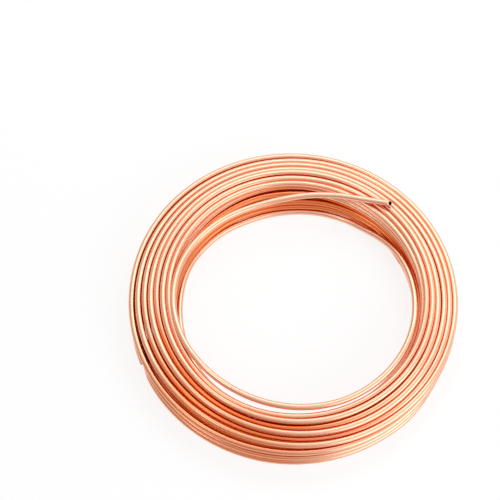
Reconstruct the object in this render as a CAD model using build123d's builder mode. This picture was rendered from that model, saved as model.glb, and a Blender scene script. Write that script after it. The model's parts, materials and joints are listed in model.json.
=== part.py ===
"""Coil of soft copper tube, lying flat as it comes from the drum.

Millimetres, +Z up. The origin is on the coil's axis, at the level of the floor.
Angles are measured from +X towards +Y. The tube is one piece: the bundle of turns is one
turned solid whose outline is the outermost turns themselves, and the loose inner turn with
the free end, and the short outer end, are tubes that run out of it.
"""
import os
from math import atan, cos, degrees, radians, sin

from build123d import *

# Tube
tube_od = 6.0
tube_wall = 1.0
rim_chamfer = 0.3
bore_depth = 25.0

# Bundle of turns
coil_od = 320.0
turn_gap = 0.1
nest_angle = 60.0  # between a row and the line to a neighbour in the next row
outer_rows = 5
top_turns = 7
crown_slope = 15.0  # the top rises towards the opening
inner_lean = 4.0  # how much the opening narrows towards its foot
ridge_sides = 8  # a turn shows as part of a polygon whose flats touch its circle
slope_share = 0.29  # of a turn's open side, from each neighbour up to the ridge's first corner
groove_share = 0.6  # of the tube's radius, down from the crest of the turns
loose_sides = 12

# Free end: straight, it crosses over the bundle and rises clear of it for a fitting
tail_length = 48.0
tail_end_angle = 45.0
tail_end_radius = 133.0
tail_heading = -11.5
tail_rise = 3.0
tail_clearance = 3.0

# Outer end: cut off at the foot of the outer wall, where it leaves a gap
outer_end_angle = 204.0
outer_end_length = 26.0
outer_end_free = 2.0  # how far the end stands into its gap, in degrees
outer_gap_angle = 12.0

tube_radius = tube_od / 2
bore_radius = tube_radius - tube_wall
pitch = tube_od + turn_gap
row_inset = pitch * cos(radians(nest_angle))
row_rise = pitch * sin(radians(nest_angle))
outer_radius = coil_od / 2 - tube_radius
crown = Vector(-cos(radians(crown_slope)), sin(radians(crown_slope))) * pitch * (top_turns - 1)

# Corner turns of the bundle, as radius and height of their centres
outer_top = Vector(outer_radius, tube_radius + row_rise * (outer_rows - 1))
inner_top = outer_top + crown
inner_foot = Vector(inner_top.X - inner_lean, tube_radius)
outer_foot = Vector(outer_radius, tube_radius)
tail_height = inner_top.Y + tube_od + tail_clearance

# Loose turn, from where the tail begins: angle, step inwards from the bundle's inner top
# turn and height of the centre above the floor, both counted in tube diameters
loose_turn = (
    (79, 2.62, 6.62),
    (91, 2.90, 6.55),
    (103, 2.84, 6.48),
    (115, 2.75, 6.36),
    (127, 2.52, 6.22),
    (139, 2.28, 6.14),
    (151, 1.98, 6.08),
    (163, 1.56, 6.06),
    (175, 1.22, 6.04),
    (187, 1.06, 6.00),
    (199, 1.06, 5.94),
    (211, 1.16, 5.86),
    (223, 1.34, 5.78),
    (235, 1.50, 5.68),
    (247, 1.54, 5.58),
    (259, 1.46, 5.50),
    (271, 1.30, 5.46),
    (283, 1.16, 5.42),
    (295, 1.08, 5.42),
    (307, 1.08, 5.40),
    (319, 1.08, 5.38),
    (331, 1.08, 5.32),
    (343, 1.10, 5.22),
    (355, 1.12, 4.94),
    (367, 1.18, 4.48),
    (379, 1.28, 3.92),
    (391, 1.46, 3.08),
    (402, 1.70, 2.02),
    (412, 2.04, 1.30),
    (423, 2.22, 0.80),
    (434, 2.38, 0.60),
    (446, 2.58, 0.54),
    (458, 2.74, 0.54),
    (470, 2.80, 0.54),
    (482, 2.66, 0.54),
    (494, 2.38, 0.54),
    (506, 2.10, 0.54),
    (518, 1.92, 0.54),
    (530, 1.88, 0.54),
    (542, 1.90, 0.54),
    (554, 1.86, 0.54),
    (566, 1.68, 0.56),
    (577, 1.30, 0.64),
    (587, 0.66, 0.84),
    (596, -0.14, 1.10),
)


def wound_beside(first, corner):
    """Centres of the turns that lie evenly from one turn to the next corner turn."""
    run = corner - first
    count = round(run.length / pitch)
    return [first + run * (turn / count) for turn in range(count)]


def nested_wall():
    """Centres of the turns up the outer wall, each second row set into the one below."""
    return [
        Vector(outer_radius - row_inset * (row % 2), tube_radius + row_rise * row)
        for row in range(outer_rows - 1)
    ]


def bearing(centre, other):
    """Direction from one centre to another, in degrees from the outward radius."""
    return Vector(1, 0, 0).get_signed_angle(other - centre, Vector(0, 0, 1))


def spoke(angle):
    """Unit vector of the section at an angle from the outward radius."""
    return Vector(cos(radians(angle)), sin(radians(angle)))


def ridge(before, centre, after):
    """Corners of the polygon that a turn shows between its two neighbours."""
    side = 360 / ridge_sides
    start = bearing(centre, before)
    shown = (bearing(centre, after) - start) % 360
    slope = shown * slope_share
    steps = sorted((side * (corner + 0.5) - start) % 360 for corner in range(ridge_sides))
    steps = [step for step in steps if slope <= step <= shown - slope]
    return [centre + spoke(start + step) * tube_radius / cos(radians(side / 2)) for step in steps]


def crest(before, centre, after):
    """Crest of a turn that shows as two slopes alone."""
    return [centre + outwards(before, after) * tube_radius]


def outwards(before, after):
    """Unit vector out of the section, square to the line from one turn to a later one."""
    run = after - before
    return Vector(run.Y, -run.X).normalized()


def groove(centre, after):
    """Bottom of the groove between two neighbouring turns."""
    depth = tube_radius * groove_share
    return (centre + after) / 2 + outwards(centre, after) * (tube_radius - depth)


def bundle_outline():
    """Corners of the bundle's section: every outer turn's ridge, and the grooves between."""
    inner_wall = wound_beside(inner_top, inner_foot)
    underside = wound_beside(inner_foot, outer_foot)
    turns = nested_wall() + wound_beside(outer_top, inner_top) + inner_wall + underside
    plain = inner_wall[1:] + underside[1:]
    outline = []
    for before, centre, after in zip(turns[-1:] + turns, turns, turns[1:] + turns[:1]):
        shape = crest if centre in plain else ridge
        outline += shape(before, centre, after) + [groove(centre, after)]
    return outline


def around(angle, radius, height):
    """Point at an angle round the coil."""
    return Vector(radius * cos(radians(angle)), radius * sin(radians(angle)), height)


def straight_end(end, back):
    """Round tube from its cut end, chamfered, back along its straight length."""
    with BuildPart() as straight:
        with BuildSketch(Plane(origin=back, z_dir=end - back)):
            Circle(tube_radius)
        extrude(amount=(end - back).length)
        chamfer(straight.faces().sort_by_distance(end)[0].edges(), rim_chamfer)
    return straight.part


def mitred_bar(route, section):
    """Solid bar of flat faces along straight runs, its section's corners mitred at each bend."""
    rings = [section]
    for before, corner, after in zip(route, route[1:], route[2:] + [route[-1] * 2 - route[-2]]):
        run = (corner - before).normalized()
        square = run + (after - corner).normalized()
        rings.append(
            [point + run * ((corner - point).dot(square) / run.dot(square)) for point in rings[-1]]
        )
    sides = [
        Face(Wire.make_polygon((first, second, after[corner], after[corner - 1])))
        for before, after in zip(rings, rings[1:])
        for corner, (first, second) in enumerate(zip(before[-1:] + before, before))
    ]
    ends = [Face(Wire.make_polygon(ring)) for ring in (rings[0], rings[-1])]
    return Solid(Shell(sides + ends))


# Ends, each with the back of its straight length
tail_end = around(tail_end_angle, tail_end_radius, tail_height)
tail_run = Vector(1, 0, 0).rotate(Axis.Y, -tail_rise).rotate(Axis.Z, tail_heading) * tail_length
tail_back = tail_end - tail_run
outer_end_reach = outer_radius + turn_gap
outer_end_span = 2 * degrees(atan(outer_end_length / 2 / outer_end_reach))
outer_end, outer_end_back = [
    around(outer_end_angle - back, outer_end_reach / cos(radians(outer_end_span / 2)), pitch / 2)
    for back in (0, outer_end_span)
]

# Loose turn: it takes over from the tail a diameter before the tail's back
loose_start = tail_back + tail_run.normalized() * tube_od
loose_route = [loose_start, tail_back] + [
    around(angle, inner_top.X - step * tube_od, height * tube_od)
    for angle, step, height in loose_turn
]
loose_plane = Plane(origin=loose_start, z_dir=-tail_run)
loose_side = 360 / loose_sides
loose_corner = pitch / 2 / cos(radians(loose_side / 2))
loose_section = [
    loose_plane.from_local_coords(spoke(loose_side * corner) * loose_corner)
    for corner in range(loose_sides)
]
loose = mitred_bar(loose_route, loose_section)

# Where the outer end leaves the foot of the outer wall, one turn's room stays open
gap_start = outer_end_angle - outer_end_free
gap_plane = Plane(origin=(0, 0, 0), x_dir=around(gap_start, 1, 0), z_dir=around(gap_start - 90, 1, 0))

# Bundle of turns, with the loose turn and the two ends running out of it
with BuildPart() as copper_tube:
    with BuildSketch(Plane.XZ):
        with BuildLine():
            Polyline(*bundle_outline(), close=True)
        make_face()
    revolve(axis=Axis.Z)
    with BuildSketch(gap_plane):
        with Locations((outer_radius, tube_radius)):
            Rectangle(tube_od * 1.5, tube_od, align=(Align.MIN, Align.CENTER))
    revolve(axis=Axis.Z, revolution_arc=outer_gap_angle, mode=Mode.SUBTRACT)
    add(loose)
    for end, back in ((tail_end, tail_back), (outer_end, outer_end_back)):
        add(straight_end(end, back))
        with BuildSketch(Plane(origin=end, z_dir=back - end)):
            Circle(bore_radius)
        extrude(amount=bore_depth, mode=Mode.SUBTRACT)

copper_tube.part.label = "copper_tube"
os.makedirs("parts", exist_ok=True)
export_step(copper_tube.part, "parts/copper_tube.step")
print("solids", len(copper_tube.solids()), "volume", round(copper_tube.part.volume))
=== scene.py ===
"""Coil of soft copper tube on a pale floor, in the frame of its CAD model.

Sizes are in millimetres and angles in degrees, anticlockwise from +X as seen from above.
The tube is wound as one strand: from its free end round the opening, up the inner wall,
outwards over the top and down the outer wall. The turns inside the bundle are plain rings.
"""

import json
import logging
from dataclasses import dataclass
from enum import Enum
from math import atan2, cos, degrees, hypot, pi, radians, sin

import bpy
from mathutils import Euler, Matrix, Vector

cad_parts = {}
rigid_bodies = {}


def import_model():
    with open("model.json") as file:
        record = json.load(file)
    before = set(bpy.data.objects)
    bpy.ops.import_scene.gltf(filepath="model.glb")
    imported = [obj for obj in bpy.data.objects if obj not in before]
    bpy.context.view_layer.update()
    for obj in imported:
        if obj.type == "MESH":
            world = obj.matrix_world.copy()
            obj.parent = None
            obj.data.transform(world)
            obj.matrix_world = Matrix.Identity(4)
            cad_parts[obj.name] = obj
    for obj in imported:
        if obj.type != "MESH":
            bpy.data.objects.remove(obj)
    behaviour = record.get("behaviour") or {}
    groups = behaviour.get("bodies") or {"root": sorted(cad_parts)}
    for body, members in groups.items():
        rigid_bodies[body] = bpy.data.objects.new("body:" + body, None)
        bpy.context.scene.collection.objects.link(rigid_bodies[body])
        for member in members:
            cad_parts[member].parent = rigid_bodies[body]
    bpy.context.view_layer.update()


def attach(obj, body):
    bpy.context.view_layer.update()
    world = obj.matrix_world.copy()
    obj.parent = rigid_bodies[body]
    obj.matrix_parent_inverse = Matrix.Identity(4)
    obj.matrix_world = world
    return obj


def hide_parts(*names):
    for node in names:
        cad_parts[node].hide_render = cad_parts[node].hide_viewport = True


log = logging.getLogger("copper_coil")

MM = 0.001
FULL_TURN = 360
LAY_TURN = -3.05  # from the angles of the lay to those of the CAD model
SMOOTH_BELOW = 35  # edges sharper than this stay sharp
CAD_NODE = "copper_tube"
BODY = "root"


class Slot(Enum):
    """Material slots of the record."""

    COPPER = "copper"


class Face(Enum):
    """Finishes of the tube, in the order of its material slots."""

    DRAWN = 0
    CUT = 1
    BORE = 2


class Join(Enum):
    """Ways to make one value of two."""

    PRODUCT = "MULTIPLY"
    LARGER = "MAXIMUM"


@dataclass(frozen=True)
class Place:
    """A point that the tube's centre line passes.

    Args:
        angle: degrees round the coil in the lay, counted on through the turns.
        radius: millimetres from the coil's axis.
        height: millimetres above the floor.
    """

    angle: float
    radius: float
    height: float

    def point(self) -> Vector:
        """Return the place as a point in metres."""
        turn = radians(self.angle + LAY_TURN)
        return Vector((self.radius * cos(turn), self.radius * sin(turn), self.height)) * MM


@dataclass(frozen=True)
class Turn:
    """One turn of the winding, as its places at the angles that every turn shares.

    Args:
        radii: millimetres from the coil's axis, one for each shared angle.
        heights: millimetres above the floor, one for each shared angle.
    """

    radii: tuple
    heights: tuple

    def places(self, angles: tuple, start: float) -> list[Place]:
        """Return the turn's places.

        Args:
            angles: the shared angles, in degrees.
            start: the angle at which the turn begins, counted from the free end.

        Returns:
            One place for each radius that the turn has.
        """
        return [Place(start + a, r, z) for a, r, z in zip(angles, self.radii, self.heights)]


def slope_at(places: list[Place], index: int, name: str) -> float:
    """Return how fast a value changes at a place, from the places on both sides.

    Args:
        places: places in order of angle.
        index: which of them.
        name: radius or height.

    Returns:
        The change for each degree.
    """
    before, after = places[max(index - 1, 0)], places[min(index + 1, len(places) - 1)]
    return (getattr(after, name) - getattr(before, name)) / (after.angle - before.angle)


def smooth_through(places: list[Place], angle: float) -> Place:
    """Read a smooth line through given places.

    Args:
        places: places in order of angle.
        angle: where to read, in degrees.

    Returns:
        The place at that angle, on a cubic between its two neighbours.
    """
    index = max([i for i, place in enumerate(places[:-1]) if place.angle <= angle] or [0])
    before, after = places[index], places[index + 1]
    span = after.angle - before.angle
    t = (angle - before.angle) / span

    def cubic(name: str) -> float:
        """Return the radius or the height on the cubic."""
        leave = slope_at(places, index, name) * span
        arrive = slope_at(places, index + 1, name) * span
        low, high = getattr(before, name), getattr(after, name)
        ease = t * t * (3 - 2 * t)
        return low + (high - low) * ease + leave * t * (1 - t) ** 2 - arrive * t * t * (1 - t)

    return Place(angle, cubic("radius"), cubic("height"))


def choose(piece: bpy.types.Object) -> None:
    """Make a piece the only selected one, and the active one."""
    bpy.ops.object.select_all(action="DESELECT")
    piece.select_set(True)
    bpy.context.view_layer.objects.active = piece


def give_finish(piece: bpy.types.Object, face: Face) -> None:
    """Give the selected faces of a piece in edit mode one of its finishes."""
    piece.active_material_index = face.value
    bpy.ops.object.material_slot_assign()


@dataclass(frozen=True)
class Tube:
    """The stock that the coil is wound from.

    Args:
        outside: outside diameter.
        wall: thickness of the wall.
        rim_bevel: width of the bevel round a cut end.
        roundness: bevel resolution of the curve that the tube is drawn with.
    """

    outside: float = 6.0
    wall: float = 1.0
    rim_bevel: float = 0.3
    roundness: int = 7

    @property
    def radius(self) -> float:
        """Return the outside radius."""
        return self.outside / 2

    @property
    def ring(self) -> int:
        """Return how many vertices stand round the tube."""
        return 4 + 2 * self.roundness


@dataclass(frozen=True)
class FreeEnd:
    """The straight length that crosses over the bundle, from its cut end back to the loose turn.

    Args:
        end: middle of the cut face, in millimetres.
        length: from the cut to where the bend begins.
        heading: where the end points, seen from above.
        rise: how steeply it climbs.
        slant: how far the cut leans from square.
        open_towards: the way that the cut leans.
        spare: length wound past the cut, which the cut takes off.
        set_shares: shares of the length at which places are set.
        bore_shown: how deep the bore goes.
    """

    end: tuple = (94.05, 94.05, 42.6)
    length: float = 48.0
    heading: float = -11.5
    rise: float = 3.0
    slant: float = 33.0
    open_towards: tuple = (-0.02, -0.42, 0.91)
    spare: float = 2.0
    set_shares: tuple = (0.0, 0.34, 0.67, 1.0)
    bore_shown: float = 25.0

    def outward(self) -> Vector:
        """Return the unit vector that points out of the cut end."""
        level = cos(radians(self.rise))
        heading = radians(self.heading)
        return Vector((level * cos(heading), level * sin(heading), sin(radians(self.rise))))

    def facing(self) -> Vector:
        """Return the unit vector that the slanted cut faces, which leans up and to the front."""
        side = self.outward().cross(Vector(self.open_towards)).normalized()
        return Matrix.Rotation(radians(self.slant), 3, side) @ self.outward()

    def places(self) -> list[Place]:
        """Return the straight length's places, from a little beyond the cut inwards.

        Returns:
            Places on a straight line.
        """
        line = []
        for share in self.set_shares:
            back = (self.length + self.spare) * share - self.spare
            at = Vector(self.end) - self.outward() * back
            line.append(Place(degrees(atan2(at.y, at.x)) - LAY_TURN, hypot(at.x, at.y), at.z))
        return line


@dataclass(frozen=True)
class Winding:
    """The lay of the strand: where every turn that shows runs.

    Args:
        free_end: the straight end that the strand begins with.
        station_step: degrees between the places that the curve is drawn through.
        wound_from: angle at which the inner wall begins.
        wall_angles: angles at which the inner wall's turns are set.
        angles: angles at which the top's turns are set.
        foot_angles: angles at which the outer wall's turns are set, close by the outer end.
        outer_end: angle, radius and height of the last places, on the floor.
        outer_bore_shown: how deep the outer end's bore goes.
        loose_turn: angle, radius and height along the turns in the opening.
        inner_wall: turns of the inner wall, from the foot up.
        top: turns of the top, from the opening out.
        outer_wall: turns of the outer wall, from the top down.
        shaded_turns: angles, and how much painted shade lies on the open backs there, where turns
            lie recessed or sunk.
    """

    free_end: FreeEnd = FreeEnd()
    station_step: float = 6.0
    wound_from: float = 720.0
    wall_angles: tuple = (0, 30, 45, 60, 75, 90, 110, 135, 180, 210, 240, 270, 300, 330)
    angles: tuple = (0, 45, 90, 135, 180, 210, 240, 270, 300, 330)
    foot_angles: tuple = (0, 45, 90, 135, 180, 200, 206, 211, 217, 240, 270, 305, 316, 326, 336)
    outer_end: tuple = (
        (192.0, 154.3, 3.0), (197.5, 155.0, 3.0), (201.0, 155.4, 3.0), (204.8, 155.2, 3.0),
    )
    outer_bore_shown: float = 10.0

    loose_turn: tuple = (
        (74, 110.7, 39.6), (79, 108.3, 39.4), (84, 106.2, 39.1), (89, 104.4, 38.7),
        (94, 102.8, 38.2), (99, 101.9, 37.6), (104, 101.5, 36.9), (110, 101.4, 36.1),
        (119, 102.4, 35.2), (130, 104.7, 35.0), (141, 107.1, 35.3), (150, 109.2, 35.8),
        (159, 111.3, 36.2), (168, 113.2, 36.4), (187, 115.4, 36.0), (207, 115.0, 35.5),
        (226, 113.2, 34.5), (245, 112.4, 33.5), (264, 113.4, 33.0), (283, 115.2, 32.5),
        (302, 116.8, 32.5), (331, 117.4, 32.0), (350, 116.6, 31.0), (361, 115.6, 28.5),
        (381, 114.3, 23.0), (392, 113.3, 18.0), (403, 111.6, 11.5), (413, 109.3, 7.5),
        (423, 108.8, 4.7), (432, 108.0, 3.4), (442, 106.8, 3.0), (461, 105.0, 3.0),
        (480, 105.2, 3.0), (490, 106.9, 3.0), (510, 109.6, 3.0), (520, 110.6, 3.0),
        (540, 110.2, 3.0), (558, 110.6, 3.0), (585, 112.5, 3.0), (630, 114.5, 3.0),
        (680, 117.0, 4.0),
    )
    inner_wall: tuple = (
        Turn((119.0, 118.2, 117.0, 114.5, 111.6, 109.0, 108.8,
              111.2, 115.2, 116.8, 117.5, 118.5, 119.0, 119.5),
             (7.5, 7.8, 8.2, 8.6, 8.8, 8.6, 8.4, 8.2, 8.0, 7.5, 7.0, 7.0, 7.0, 7.0)),
        Turn((120.0, 119.0, 117.8, 115.6, 113.4, 111.2, 110.2,
              112.6, 116.5, 117.4, 118.2, 119.2, 120.0, 120.5),
             (12.6, 13.2, 13.8, 14.2, 14.4, 14.2, 14.0, 14.0, 13.6, 13.0, 12.3, 12.3, 12.3, 12.3)),
        Turn((121.0, 120.2, 119.2, 118.2, 117.6, 117.2, 116.6,
              116.8, 117.2, 118.0, 118.8, 119.8, 120.6, 121.4),
             (18.0, 18.5, 19.0, 19.4, 19.5, 19.4, 19.2, 19.0, 18.8, 18.4, 17.8, 17.6, 17.6, 17.6)),
        Turn((122.2, 120.6, 118.8, 117.8, 117.2, 115.0, 115.0,
              115.2, 117.5, 118.6, 119.6, 120.8, 121.8, 122.4),
             (22.6, 23.6, 24.2, 24.4, 24.4, 24.4, 24.4, 24.2, 23.8, 23.4, 22.6, 22.2, 22.2, 22.4)),
        Turn((123.0, 121.0, 119.4, 119.2, 119.3, 119.6, 119.4,
              118.6, 118.5, 118.8, 120.2, 121.8, 123.2, 124.0),
             (26.5, 28.0, 28.6, 29.0, 29.5, 30.0, 30.0, 29.4, 28.5, 28.2, 26.0, 25.4, 25.4, 26.0)),
    )
    top: tuple = (
        Turn((123.4, 120.6, 120.8, 121.2, 119.8, 119.3, 121.3, 122.2, 123.9, 125.9),
             (29.8, 33.8, 34.0, 34.6, 34.5, 31.5, 28.7, 28.9, 29.8, 31.2)),
        Turn((126.2, 126.0, 126.1, 126.7, 125.3, 124.8, 126.2, 128.2, 130.4, 131.9),
             (33.5, 34.6, 34.6, 34.8, 34.0, 32.8, 31.8, 31.6, 32.2, 33.0)),
        Turn((132.0, 132.0, 132.7, 132.9, 131.3, 130.0, 130.9, 133.2, 136.3, 137.9),
             (33.0, 34.2, 34.8, 34.2, 32.0, 29.4, 27.4, 27.3, 29.6, 31.5)),
        Turn((137.2, 137.0, 137.6, 137.8, 136.9, 136.0, 137.0, 139.4, 142.4, 143.3),
             (32.0, 31.8, 31.6, 31.6, 31.4, 31.0, 30.4, 30.2, 30.4, 30.8)),
        Turn((143.2, 143.3, 143.9, 144.1, 142.9, 142.0, 141.8, 143.3, 146.7, 148.4),
             (29.5, 29.0, 29.0, 29.2, 29.5, 28.4, 26.4, 25.4, 26.4, 27.5)),
        Turn((148.5, 149.4, 149.8, 150.2, 149.1, 148.6, 148.8, 150.7, 152.8, 153.6),
             (27.0, 26.2, 26.2, 26.2, 27.6, 28.2, 28.8, 29.0, 27.5, 26.0)),
        Turn((154.0, 154.9, 156.6, 157.2, 155.5, 155.7, 156.2, 156.3, 156.6, 154.8),
             (25.0, 24.3, 24.0, 24.0, 24.0, 24.2, 24.4, 24.5, 23.5, 21.0)),
    )
    outer_wall: tuple = (
        Turn((153.6, 153.9, 154.0, 154.0, 153.8, 153.6, 153.8, 155.2,
              156.0, 156.6, 157.0, 156.4, 155.6, 154.4, 153.4),
             (19.0, 18.0, 18.0, 18.0, 17.0, 16.0, 15.4, 14.6,
              14.2, 14.0, 14.0, 13.4, 12.8, 12.2, 11.8)),
        Turn((153.7, 153.9, 154.0, 154.0, 153.6, 153.0, 153.0, 155.4,
              155.8, 156.5, 156.9, 155.7, 155.6, 153.9, 152.6),
             (11.0, 10.5, 10.5, 10.5, 10.0, 9.6, 8.8, 5.6, 3.6, 3.0, 3.0, 3.0, 3.0, 3.0, 3.0)),
        Turn((153.4, 153.9, 154.0, 154.0, 154.0), (3.0, 3.0, 3.0, 3.0, 3.0)),
    )

    # painted shade along the strand: on the inner wall's turns, and on two sunk turns of the top at
    # the front left
    shaded_turns: tuple = (
        (700, 0.0), (760, 0.8), (1440, 0.8), (1500, 1.0), (1780, 1.0), (1844, 0.9), (1850, 0.15),
        (1880, 0.15), (1895, 0.75), (2150, 0.7), (2200, 0.1), (2225, 0.1), (2240, 0.6), (2270, 0.6),
        (2290, 0.1), (3415, 0.0), (3445, 0.8), (3520, 0.8), (3545, 0.0), (4140, 0.0), (4170, 0.65),
        (4240, 0.65), (4265, 0.0),
    )

    def set_places(self) -> list[Place]:
        """Return the given places of the whole strand, in order.

        Returns:
            The free end, the loose turn, the walls and the top, down to the outer end.
        """
        places = self.free_end.places() + [Place(*row) for row in self.loose_turn]
        sets = [(turn, self.wall_angles) for turn in self.inner_wall]
        sets += [(turn, self.angles) for turn in self.top]
        sets += [(turn, self.foot_angles) for turn in self.outer_wall]
        for number, (turn, angles) in enumerate(sets):
            places += turn.places(angles, self.wound_from + FULL_TURN * number)
        last = self.wound_from + FULL_TURN * (len(sets) - 1)
        return places + [
            Place(last + angle, radius, height) for angle, radius, height in self.outer_end
        ]

    def stations(self) -> list[Place]:
        """Return the places that the curve is drawn through.

        Returns:
            The straight end as it is set, and evenly spaced places after it.
        """
        places = self.set_places()
        straight = len(self.free_end.places())
        first, end = places[straight].angle, places[-1].angle
        count = round((end - first) / self.station_step)
        step = (end - first) / count
        wound = [smooth_through(places, first + step * number) for number in range(count + 1)]
        return places[:straight] + wound

    def shaded_turns_along(self) -> list[tuple[float, float]]:
        """Return where the strand gets painted shade, as shares of its length.

        Returns:
            A share of the length, counted in stations, and how dark the painted shade is there.
        """
        stations = self.stations()
        first = self.loose_turn[0][0]
        turned = stations[-1].angle - first
        straight = len(self.free_end.places())
        wound = len(stations) - straight
        last = len(stations) - 1
        return [
            ((straight + (angle - first) / turned * wound) / last, amount)
            for angle, amount in self.shaded_turns
        ]


@dataclass(frozen=True)
class InnerTurns:
    """The turns inside the bundle, which only fill the dark between the turns that show.

    Args:
        levels: height, first column and last column of each row.
        inmost: radius of the inmost column.
        step: from one column to the next.
        outmost_column: number of the column that is centred.
        shift: how far the inmost column is off centre.
        shift_heading: which way it is off centre.
        radius: outside radius of the tube there, a little under the real one.
        around: segments round the coil.
        sides: sides of the tube.
    """

    levels: tuple = ((3.0, 0, 4), (8.5, 0, 4), (14.0, 1, 4), (19.5, 1, 4), (24.5, 1, 2))
    inmost: float = 120.3
    step: float = 6.9
    outmost_column: int = 4
    shift: float = 4.5
    shift_heading: float = 252.0
    radius: float = 2.6
    around: int = 72
    sides: int = 8

    def build(self, finish: bpy.types.Material) -> list[bpy.types.Object]:
        """Return one closed ring for each turn.

        Args:
            finish: the tube's finish.

        Returns:
            The rings, from the floor up. The opening is off centre, so the inner ones are too.
        """
        rings = []
        heading = radians(self.shift_heading)
        for height, first, last in self.levels:
            for column in range(first, last + 1):
                shift = self.shift * (1 - column / self.outmost_column)
                bpy.ops.mesh.primitive_torus_add(
                    location=(shift * cos(heading) * MM, shift * sin(heading) * MM, height * MM),
                    major_radius=(self.inmost + self.step * column) * MM,
                    minor_radius=self.radius * MM,
                    major_segments=self.around,
                    minor_segments=self.sides,
                )
                bpy.ops.object.transform_apply(location=True)
                bpy.context.object.data.materials.append(finish)
                rings.append(bpy.context.object)
        return rings


@dataclass
class CutEnd:
    """A cut open end: its bevelled rim, its face and the bore behind it.

    Args:
        first: index of the first vertex of the ring at the end.
        beyond: index of the first vertex of the next ring.
        place: where the cut's middle comes, in metres.
        outward: unit vector out of the end.
        facing: unit vector that the cut faces.
        bore_shown: how deep the bore goes, in millimetres.
    """

    first: int
    beyond: int
    place: Vector
    outward: Vector
    facing: Vector
    bore_shown: float

    def cut(self, coil: bpy.types.Object, tube: Tube) -> None:
        """Cut the tube and extrude the rim, the face and the bore from the cut.

        Args:
            coil: the wound tube.
            tube: the stock.
        """
        choose(coil)
        bpy.ops.object.mode_set(mode="EDIT")
        bpy.ops.mesh.select_mode(type="VERT")
        bpy.ops.mesh.select_all(action="DESELECT")
        bpy.ops.object.mode_set(mode="OBJECT")
        for first in (self.first, self.beyond):
            for index in range(first, first + tube.ring):
                coil.data.vertices[index].select = True
        bpy.ops.object.mode_set(mode="EDIT")
        bpy.ops.mesh.bisect(plane_co=self.place, plane_no=self.facing, clear_outer=True)
        bore = tube.radius - tube.wall
        at, now = self.place.copy(), tube.radius
        for step, radius in (
                (tube.rim_bevel, tube.radius - tube.rim_bevel),
                (0.0, bore + tube.rim_bevel / 2),
                (-tube.rim_bevel / 2, bore),
                (-self.bore_shown, bore)):
            move = self.outward * step * MM
            bpy.ops.mesh.extrude_edges_move(TRANSFORM_OT_translate={"value": move})
            at += move
            bpy.ops.transform.resize(value=(radius / now,) * 3, center_override=at)
            now = radius
        bpy.ops.mesh.edge_face_add()
        for _strip in ("bore", "lip", "face", "rim"):
            bpy.ops.mesh.select_more()
        give_finish(coil, Face.CUT)
        for _strip in ("rim", "face"):
            bpy.ops.mesh.select_less()
        give_finish(coil, Face.BORE)
        bpy.ops.object.mode_set(mode="OBJECT")


@dataclass
class CopperCoil:
    """The whole coil: one strand, and the turns inside the bundle.

    Args:
        tube: the stock.
        winding: how the strand lies.
        inner_turns: the plain rings inside the bundle.
        steps_between: steps of the curve from one station to the next.
    """

    tube: Tube = Tube()
    winding: Winding = Winding()
    inner_turns: InnerTurns = InnerTurns()
    steps_between: int = 2

    def wind(self) -> bpy.types.Object:
        """Return the strand as a mesh that is open at both ends."""
        places = self.winding.stations()
        curve = bpy.data.curves.new("tube_route", "CURVE")
        curve.dimensions = "3D"
        curve.bevel_depth = self.tube.radius * MM
        curve.bevel_resolution = self.tube.roundness
        curve.resolution_u = self.steps_between
        spline = curve.splines.new("BEZIER")
        spline.bezier_points.add(len(places) - 1)
        for point, place in zip(spline.bezier_points, places):
            point.co = place.point()
            point.handle_left_type = point.handle_right_type = "AUTO"
        coil = bpy.data.objects.new("wound_tube", curve)
        bpy.context.scene.collection.objects.link(coil)
        choose(coil)
        bpy.ops.object.convert(target="MESH")
        return bpy.context.view_layer.objects.active

    def ends(self, coil: bpy.types.Object) -> list[CutEnd]:
        """Return the two cut ends of the strand, the outer one first.

        Args:
            coil: the wound tube, still open.

        Returns:
            The outer end and the free end.
        """
        points = [vertex.co for vertex in coil.data.vertices]
        ring = self.tube.ring

        def middle(first: int) -> Vector:
            """Return the middle of the ring that begins at a vertex."""
            return sum(points[first:first + ring], Vector()) / ring

        last = len(points) - ring
        run = (middle(last) - middle(last - ring)).normalized()
        free = self.winding.free_end
        return [
            CutEnd(
                first=last,
                beyond=last - ring,
                place=middle(last) - run * self.tube.rim_bevel * MM,
                outward=run,
                facing=run,
                bore_shown=self.winding.outer_bore_shown,
            ),
            CutEnd(
                first=0,
                beyond=ring,
                place=middle(0) - free.outward() * (free.spare + self.tube.rim_bevel) * MM,
                outward=free.outward(),
                facing=free.facing(),
                bore_shown=free.bore_shown,
            ),
        ]

    def build(self) -> bpy.types.Object:
        """Wind the strand, cut its ends and lay the inner turns.

        Returns:
            The whole coil as one piece.
        """
        coil = self.wind()
        drawn = DrawnCopper().material(self.winding.shaded_turns_along())
        coil.data.materials.clear()
        coil.data.materials.append(drawn)
        coil.data.materials.append(CutCopper().material("cut_copper"))
        coil.data.materials.append(BORE_SHADE.material("bore_shade"))
        for end in self.ends(coil):
            end.cut(coil, self.tube)
        rings = self.inner_turns.build(drawn)
        choose(coil)
        for ring in rings:
            ring.select_set(True)
        bpy.ops.object.join()
        bpy.ops.object.mode_set(mode="EDIT")
        bpy.ops.mesh.select_all(action="SELECT")
        bpy.ops.mesh.normals_make_consistent(inside=False)
        bpy.ops.object.mode_set(mode="OBJECT")
        bpy.ops.object.shade_smooth_by_angle(angle=radians(SMOOTH_BELOW))
        log.info("wound tube: %d faces", len(coil.data.polygons))
        return coil


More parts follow.
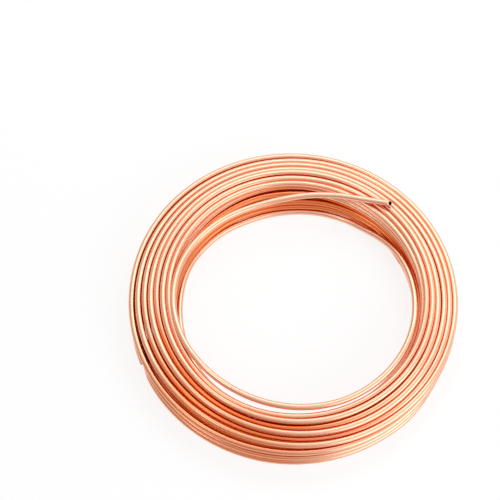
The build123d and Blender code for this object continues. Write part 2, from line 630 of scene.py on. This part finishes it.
def eased(
        tree: bpy.types.NodeTree, value: bpy.types.NodeSocket, span: tuple,
        result: tuple = (0.0, 1.0)) -> bpy.types.NodeSocket:
    """Map a value smoothly from one range to another.

    Args:
        tree: the node tree.
        value: the socket with the value.
        span: where the value begins and ends to matter.
        result: what comes out at those two.

    Returns:
        The socket with the result.
    """
    ease = tree.nodes.new("ShaderNodeMapRange")
    ease.interpolation_type = "SMOOTHSTEP"
    ease.inputs["From Min"].default_value, ease.inputs["From Max"].default_value = span
    ease.inputs["To Min"].default_value, ease.inputs["To Max"].default_value = result
    tree.links.new(value, ease.inputs["Value"])
    return ease.outputs["Result"]


def distance_towards(
        tree: bpy.types.NodeTree, place: bpy.types.NodeSocket,
        direction: tuple | Vector) -> bpy.types.NodeSocket:
    """Measure how far a place lies in a direction.

    Args:
        tree: the node tree.
        place: the socket with the place.
        direction: unit vector.

    Returns:
        The socket with the distance.
    """
    dot = tree.nodes.new("ShaderNodeVectorMath")
    dot.operation = "DOT_PRODUCT"
    dot.inputs[1].default_value = direction
    tree.links.new(place, dot.inputs[0])
    return dot.outputs["Value"]


def joined(
        tree: bpy.types.NodeTree, way: Join, first: bpy.types.NodeSocket,
        second: bpy.types.NodeSocket) -> bpy.types.NodeSocket:
    """Make one value of two.

    Args:
        tree: the node tree.
        way: how.
        first: the socket with one value.
        second: the socket with the other.

    Returns:
        The socket with the result.
    """
    node = tree.nodes.new("ShaderNodeMath")
    node.operation = way.value
    tree.links.new(first, node.inputs[0])
    tree.links.new(second, node.inputs[1])
    return node.outputs["Value"]


def mixed_colour(
        tree: bpy.types.NodeTree, share: bpy.types.NodeSocket, colour: tuple,
        other: tuple | bpy.types.NodeSocket) -> bpy.types.NodeSocket:
    """Mix two colours.

    Args:
        tree: the node tree.
        share: the socket with the other colour's share.
        colour: the first colour.
        other: the other colour, or the socket that it comes from.

    Returns:
        The socket with the mixed colour.
    """
    mix = tree.nodes.new("ShaderNodeMix")
    mix.data_type = "RGBA"
    mix.inputs["A"].default_value = colour
    if isinstance(other, tuple):
        mix.inputs["B"].default_value = other
    else:
        tree.links.new(other, mix.inputs["B"])
    tree.links.new(share, mix.inputs["Factor"])
    return mix.outputs["Result"]


@dataclass(frozen=True)
class DrawnCopper:
    """Bright drawn copper, with fine lines along the tube and painted shade, a deep red, between
    the turns.

    Args:
        colour: the metal's own colour, where no shade is painted.
        warmer: the metal's own colour in its warmer patches.
        patch_scale: how many patches to a metre.
        patch_detail: how ragged the patches are.
        line_stretch: how often the lines change along the strand and round the tube; the
            third value is idle.
        line_detail: how fine the lines get.
        line_span: the noise that the lines are taken from.
        roughness: of the smoothest lines and of the roughest.
        painted_shade: colour of the painted shade, the deep red of copper reflected in copper.
        painted_shade_reach: how far a neighbouring turn is felt for the painted shade, in metres.
        painted_shade_samples: rays that feel for neighbours.
        painted_shade_span: the openness that has the full painted shade, and the one that has none.
        shaded_side: the side of the coil, front left, that gets more painted shade, as less light
            falls there.
        shaded_side_span: metres towards that side where this begins and is full.
        shaded_side_amount: how much painted shade it adds.
    """

    colour: tuple = (0.93, 0.55, 0.4, 1.0)
    warmer: tuple = (0.92, 0.475, 0.3, 1.0)
    patch_scale: float = 35.0
    patch_detail: float = 2.0
    line_stretch: tuple = (60.0, 40.0, 1.0)
    line_detail: float = 3.0
    line_span: tuple = (0.3, 0.7)
    roughness: tuple = (0.19, 0.3)
    painted_shade: tuple = (0.8, 0.17, 0.02, 1.0)
    painted_shade_reach: float = 0.007
    painted_shade_samples: int = 12
    painted_shade_span: tuple = (0.16, 0.82)
    shaded_side: tuple = (-0.5, -0.866, 0.0)
    shaded_side_span: tuple = (0.105, 0.15)
    shaded_side_amount: float = 0.55

    def material(self, shaded_turns: list[tuple[float, float]]) -> bpy.types.Material:
        """Make the finish.

        Args:
            shaded_turns: shares of the strand's length and how dark the painted shade is there.

        Returns:
            The finished material.
        """
        material = bpy.data.materials.new("drawn_copper")
        material.use_nodes = True
        tree = material.node_tree
        shader = tree.nodes["Principled BSDF"]
        shader.inputs["Metallic"].default_value = 1.0
        place = tree.nodes.new("ShaderNodeTexCoord")
        rough = self.drawn_lines(tree, place.outputs["UV"])
        tree.links.new(rough, shader.inputs["Roughness"])
        # painted shade on the recessed and sunk turns, set along the strand
        bright = self.turns_without_shade(tree, place.outputs["UV"], shaded_turns)
        # painted shade: the colour turns deep red in the grooves between the turns, where shade
        # falls; the mask is 1 where the metal's own colour shows
        unshaded = joined(tree, Join.PRODUCT, bright, self.open_backs(tree))
        # painted shade: the coil's front-left side is darkened towards the deep red
        side = distance_towards(tree, place.outputs["Object"], self.shaded_side)
        clear = eased(tree, side, self.shaded_side_span, (1.0, 1.0 - self.shaded_side_amount))
        unshaded = joined(tree, Join.PRODUCT, unshaded, clear)
        metal = self.unshaded_metal(tree, place.outputs["Object"])
        colour = mixed_colour(tree, unshaded, self.painted_shade, metal)
        tree.links.new(colour, shader.inputs["Base Color"])
        return material

    def drawn_lines(
            self, tree: bpy.types.NodeTree, place: bpy.types.NodeSocket) -> bpy.types.NodeSocket:
        """Make the fine lines that drawing leaves along the tube.

        Args:
            tree: the material's nodes.
            place: the socket with the place along and round the tube.

        Returns:
            The socket with the roughness.
        """
        stretch = tree.nodes.new("ShaderNodeMapping")
        stretch.inputs["Scale"].default_value = self.line_stretch
        lines = tree.nodes.new("ShaderNodeTexNoise")
        lines.inputs["Scale"].default_value = 1.0
        lines.inputs["Detail"].default_value = self.line_detail
        tree.links.new(place, stretch.inputs["Vector"])
        tree.links.new(stretch.outputs["Vector"], lines.inputs["Vector"])
        gloss = tree.nodes.new("ShaderNodeMapRange")
        least, most = self.line_span
        gloss.inputs["From Min"].default_value = least
        gloss.inputs["From Max"].default_value = most
        gloss.inputs["To Min"].default_value, gloss.inputs["To Max"].default_value = self.roughness
        tree.links.new(lines.outputs["Fac"], gloss.inputs["Value"])
        return gloss.outputs["Result"]

    def unshaded_metal(
            self, tree: bpy.types.NodeTree, place: bpy.types.NodeSocket) -> bpy.types.NodeSocket:
        """Make the metal's own colour, in soft patches.

        Args:
            tree: the material's nodes.
            place: the socket with the place.

        Returns:
            The socket with the colour.
        """
        patches = tree.nodes.new("ShaderNodeTexNoise")
        patches.inputs["Scale"].default_value = self.patch_scale
        patches.inputs["Detail"].default_value = self.patch_detail
        tree.links.new(place, patches.inputs["Vector"])
        return mixed_colour(tree, patches.outputs["Fac"], self.colour, self.warmer)

    def turns_without_shade(
            self, tree: bpy.types.NodeTree, place: bpy.types.NodeSocket,
            shaded_turns: list[tuple[float, float]]) -> bpy.types.NodeSocket:
        """Tell where the strand is bright along its length.

        Args:
            tree: the material's nodes.
            place: the socket with the place along and round the tube.
            shaded_turns: shares of the strand's length and how dark the painted shade is there.

        Returns:
            The socket with 1 where it is bright.
        """
        along = tree.nodes.new("ShaderNodeSeparateXYZ")
        tree.links.new(place, along.inputs["Vector"])
        bright = tree.nodes.new("ShaderNodeValToRGB")
        for element in bright.color_ramp.elements:
            element.color = (1, 1, 1, 1)
        for share, amount in shaded_turns:
            bright.color_ramp.elements.new(share).color = (1 - amount,) * 3 + (1,)
        tree.links.new(along.outputs["X"], bright.inputs["Fac"])
        return bright.outputs["Color"]

    def open_backs(self, tree: bpy.types.NodeTree) -> bpy.types.NodeSocket:
        """Tell the open backs of the turns from the grooves between them, where shade is painted.

        Args:
            tree: the material's nodes.

        Returns:
            The socket with 0 deep between the turns and 1 on their open backs.
        """
        # painted shade: ambient occlusion darkens the colour to deep red in the grooves between the
        # turns
        shut = tree.nodes.new("ShaderNodeAmbientOcclusion")
        shut.samples = self.painted_shade_samples
        shut.only_local = True
        shut.inputs["Distance"].default_value = self.painted_shade_reach
        return eased(tree, shut.outputs["AO"], self.painted_shade_span)


@dataclass(frozen=True)
class CutCopper:
    """Sawn end of the tube; with dark colours, the painted shade inside its bore.

    Args:
        colour: the surface.
        darker: its darker grains.
        metallic: 1 for bare metal and 0 for the bore's painted shade.
        roughness: of the surface.
        specular: how much a surface that isn't metal reflects.
        grit: how many grains to a metre.
    """

    colour: tuple = (0.93, 0.62, 0.47, 1.0)
    darker: tuple = (0.74, 0.48, 0.36, 1.0)
    metallic: float = 1.0
    roughness: float = 0.4
    specular: float = 0.5
    grit: float = 2500.0

    def material(self, name: str) -> bpy.types.Material:
        """Make the finish.

        Args:
            name: the material's name.

        Returns:
            The finished material.
        """
        material = bpy.data.materials.new(name)
        material.use_nodes = True
        tree = material.node_tree
        shader = tree.nodes["Principled BSDF"]
        shader.inputs["Metallic"].default_value = self.metallic
        shader.inputs["Roughness"].default_value = self.roughness
        shader.inputs["Specular IOR Level"].default_value = self.specular
        place = tree.nodes.new("ShaderNodeTexCoord")
        grains = tree.nodes.new("ShaderNodeTexNoise")
        grains.inputs["Scale"].default_value = self.grit
        tree.links.new(place.outputs["Object"], grains.inputs["Vector"])
        colour = mixed_colour(tree, grains.outputs["Fac"], self.colour, self.darker)
        tree.links.new(colour, shader.inputs["Base Color"])
        return material


# painted shade: the bore is painted near black, as if it were deep and unlit
BORE_SHADE = CutCopper(
    colour=(0.012, 0.005, 0.004, 1.0),
    darker=(0.004, 0.002, 0.002, 1.0),
    metallic=0.0,
    roughness=0.9,
    specular=0.0,
)


@dataclass(frozen=True)
class PaleFloor:
    """White floor that shows as white to the camera and in the metal, and keeps the shadow.

    Args:
        side: of the square, in metres.
        albedo: how much light it gives back to the object.
        shown_albedo: how strongly its shadow shows.
        glow: the brightness that it shows where no light falls.
    """

    side: float = 6.0
    albedo: float = 0.85
    shown_albedo: float = 0.32
    glow: float = 0.8

    def build(self) -> bpy.types.Object:
        """Lay the floor.

        Returns:
            The floor, level with the coil's foot.
        """
        bpy.ops.mesh.primitive_plane_add(size=self.side, location=(0, 0, 0))
        ground = bpy.context.object
        ground.name = "floor"
        ground.data.materials.append(self.material())
        return ground

    def material(self) -> bpy.types.Material:
        """Make the floor's finish.

        Returns:
            The finished material.
        """
        material = bpy.data.materials.new("pale_floor")
        material.use_nodes = True
        tree = material.node_tree
        nodes, links = tree.nodes, tree.links
        nodes.remove(nodes["Principled BSDF"])
        glow = nodes.new("ShaderNodeEmission")
        glow.inputs["Strength"].default_value = self.glow
        shown = nodes.new("ShaderNodeAddShader")
        links.new(self.matt(tree, self.shown_albedo), shown.inputs[0])
        links.new(glow.outputs["Emission"], shown.inputs[1])
        mix = nodes.new("ShaderNodeMixShader")
        links.new(seen_rays(tree), mix.inputs[0])
        links.new(self.matt(tree, self.albedo), mix.inputs[1])
        links.new(shown.outputs["Shader"], mix.inputs[2])
        links.new(mix.outputs["Shader"], nodes["Material Output"].inputs["Surface"])
        return material

    def matt(self, tree: bpy.types.NodeTree, albedo: float) -> bpy.types.NodeSocket:
        """Make a plain matt grey.

        Args:
            tree: the material's nodes.
            albedo: how light it is.

        Returns:
            The socket with the shader.
        """
        surface = tree.nodes.new("ShaderNodeBsdfDiffuse")
        surface.inputs["Color"].default_value = (albedo,) * 3 + (1.0,)
        return surface.outputs["BSDF"]


def seen_rays(tree: bpy.types.NodeTree) -> bpy.types.NodeSocket:
    """Tell rays from the camera, and those that metal reflects, from the rest.

    Args:
        tree: the node tree.

    Returns:
        The socket with 1 for those rays.
    """
    path = tree.nodes.new("ShaderNodeLightPath")
    return joined(tree, Join.LARGER, path.outputs["Is Camera Ray"], path.outputs["Is Glossy Ray"])


def turned_to(place: Vector, aim: Vector) -> Euler:
    """Return the turn that points a lamp or a camera at its aim."""
    return (aim - place).to_track_quat("-Z", "Y").to_euler()


@dataclass(frozen=True)
class Softbox:
    """A rectangular lamp that faces a point.

    Args:
        name: the lamp's name.
        place: where it hangs, in metres.
        size: width and height, in metres.
        strength: brightness of its face, where 1 is white.
        aim: what it faces, in metres.
    """

    name: str
    place: tuple
    size: tuple
    strength: float
    aim: tuple = (0.0, 0.0, 0.0)

    def build(self) -> None:
        """Hang the lamp."""
        lamp = bpy.data.lights.new(self.name, "AREA")
        lamp.shape = "RECTANGLE"
        lamp.size, lamp.size_y = self.size
        lamp.energy = self.strength * pi * self.size[0] * self.size[1]
        holder = bpy.data.objects.new(self.name, lamp)
        holder.location = self.place
        holder.rotation_euler = turned_to(Vector(self.place), Vector(self.aim))
        bpy.context.scene.collection.objects.link(holder)


@dataclass(frozen=True)
class Studio:
    """Floor, lamps, world and camera.

    Args:
        floor: the floor.
        lamps: the lamps.
        world_light: brightness of the room as a light.
        room_dim: brightness that the metal reflects from the dim side of the room.
        room_bright: brightness that it reflects from the bright side.
        bright_side: where the bright side is.
        room_span: how the room goes from dim to bright, as shares of the way there.
        camera_place: in millimetres.
        camera_aim: in millimetres.
        lens: focal length, in millimetres.
        sensor: width of the picture in the camera, in millimetres.
    """

    floor: PaleFloor = PaleFloor()
    lamps: tuple = (
        Softbox("top_softbox", (0.25, 0.66, 0.9), (1.1, 0.6), 1.6, (0.25, 0.5, 0.0)),
        Softbox("right_softbox", (0.85, -0.75, 0.45), (1.2, 0.8), 1.6),
        Softbox("left_strip", (-0.43, -0.25, 0.8), (0.15, 0.25), 4.0),
    )
    world_light: float = 0.35
    room_dim: float = 0.45
    room_bright: float = 1.0
    bright_side: tuple = (0.55, 0.45, 0.7)
    room_span: tuple = (-0.4, 0.8)
    camera_place: tuple = (-42.24, -792.83, 1726.17)
    camera_aim: tuple = (-42.02, 64.73, 0.0)
    lens: float = 141.05
    sensor: float = 36.0

    def build(self) -> None:
        """Set the stage."""
        self.floor.build()
        self.build_world()
        for lamp in self.lamps:
            lamp.build()
        self.build_camera()

    def build_world(self) -> None:
        """Fill the room with soft white light."""
        world = bpy.data.worlds.new("studio")
        bpy.context.scene.world = world
        world.use_nodes = True
        tree = world.node_tree
        nodes, links = tree.nodes, tree.links
        place = nodes.new("ShaderNodeTexCoord")
        towards = Vector(self.bright_side).normalized()
        side = distance_towards(tree, place.outputs["Generated"], towards)
        room = eased(tree, side, self.room_span, (self.room_dim, self.room_bright))
        level = nodes.new("ShaderNodeMapRange")
        level.inputs["To Min"].default_value = self.world_light
        links.new(seen_rays(tree), level.inputs["Value"])
        links.new(room, level.inputs["To Max"])
        nodes["Background"].inputs["Color"].default_value = (1, 1, 1, 1)
        links.new(level.outputs["Result"], nodes["Background"].inputs["Strength"])

    def build_camera(self) -> None:
        """Place the camera."""
        camera = bpy.data.cameras.new("camera")
        camera.lens = self.lens
        camera.sensor_width = self.sensor
        view = bpy.data.objects.new("camera", camera)
        place = Vector(self.camera_place) * MM
        view.location = place
        view.rotation_euler = turned_to(place, Vector(self.camera_aim) * MM)
        bpy.context.scene.collection.objects.link(view)
        bpy.context.scene.camera = view


def main() -> None:
    """Build the coil and its stage."""
    logging.basicConfig(level=logging.INFO, format="%(message)s")
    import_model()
    bpy.context.scene.view_settings.view_transform = "Standard"
    coil = CopperCoil().build()
    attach(coil, BODY)
    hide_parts(CAD_NODE)
    Studio().build()


if __name__ == "__main__":
    main()
